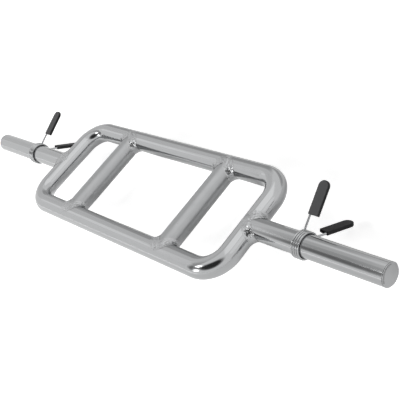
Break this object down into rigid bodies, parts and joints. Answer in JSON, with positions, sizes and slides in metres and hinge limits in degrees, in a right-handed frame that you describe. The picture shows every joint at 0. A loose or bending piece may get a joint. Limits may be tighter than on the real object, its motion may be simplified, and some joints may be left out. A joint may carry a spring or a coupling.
{
  "type": "triceps bar",
  "caption": "Short barbell with an oblong tube frame, parallel cross grips inside it, a loading sleeve at each end and wire spring collars with flat squeeze handles.",
  "frame": {"origin": "the bar's centre, on the axis of the sleeves, midway between the end faces", "axes": "+X along the sleeves, +Y in the frame's plane towards the side that the collar handles point to, +Z square to the frame's plane"},
  "size_m": [0.86, 0.189, 0.0781],
  "materials": {
    "tube_chrome": "smooth chrome plate",
    "weld_chrome": "chrome plate over a smooth weld bead",
    "plug_chrome": "chrome plate",
    "spring_wire": "chromed spring wire",
    "handle_plastic": "black moulded plastic, semi-matte"
  },
  "bodies": {
    "bar": {"front_frame_tube": "tube_chrome", "back_frame_tube": "tube_chrome", "left_grip_bar": "tube_chrome", "right_grip_bar": "tube_chrome", "left_sleeve": "tube_chrome", "right_sleeve": "tube_chrome", "left_front_grip_weld": "weld_chrome", "left_back_grip_weld": "weld_chrome", "right_front_grip_weld": "weld_chrome", "right_back_grip_weld": "weld_chrome", "left_sleeve_weld": "weld_chrome", "right_sleeve_weld": "weld_chrome", "left_end_plug": "plug_chrome", "right_end_plug": "plug_chrome"},
    "right_collar": {"right_collar_coil": "spring_wire"},
    "right_upper_handle": {"right_upper_arm": "spring_wire", "right_upper_handle_grip": "handle_plastic"},
    "right_lower_handle": {"right_lower_arm": "spring_wire", "right_lower_handle_grip": "handle_plastic"},
    "left_collar": {"left_collar_coil": "spring_wire"},
    "left_upper_handle": {"left_upper_arm": "spring_wire", "left_upper_handle_grip": "handle_plastic"},
    "left_lower_handle": {"left_lower_arm": "spring_wire", "left_lower_handle_grip": "handle_plastic"}
  },
  "joints": [
    {"name": "right_collar_slide", "type": "slide", "parent": "bar", "child": "right_collar", "axis": [1, 0, 0], "range_m": [-0.057, 0.136]},
    {"name": "right_lower_handle_squeeze", "type": "hinge", "parent": "right_collar", "child": "right_lower_handle", "pos_m": [0.305, 0, 0], "axis": [1, 0, 0], "range_deg": [0, 18], "stiffness_Nm_per_rad": 2.9, "springref_deg": -35.52, "deforming": ["right_collar_coil"]},
    {"name": "right_upper_handle_squeeze", "type": "hinge", "parent": "right_collar", "child": "right_upper_handle", "pos_m": [0.305, 0, 0], "axis": [1, 0, 0], "range_deg": [-18, 0], "stiffness_Nm_per_rad": 2.9, "springref_deg": 35.52},
    {"name": "left_collar_slide", "type": "slide", "parent": "bar", "child": "left_collar", "axis": [1, 0, 0], "range_m": [-0.13, 0.063]},
    {"name": "left_lower_handle_squeeze", "type": "hinge", "parent": "left_collar", "child": "left_lower_handle", "pos_m": [-0.312, 0, 0], "axis": [1, 0, 0], "range_deg": [0, 18], "stiffness_Nm_per_rad": 2.9, "springref_deg": -35.52, "deforming": ["left_collar_coil"]},
    {"name": "left_upper_handle_squeeze", "type": "hinge", "parent": "left_collar", "child": "left_upper_handle", "pos_m": [-0.312, 0, 0], "axis": [1, 0, 0], "range_deg": [-18, 0], "stiffness_Nm_per_rad": 2.9, "springref_deg": 35.52}
  ],
  "couplings": [
    {"joint": "right_upper_handle_squeeze", "follows": "right_lower_handle_squeeze", "ratio": -1},
    {"joint": "left_upper_handle_squeeze", "follows": "left_lower_handle_squeeze", "ratio": -1}
  ]
}
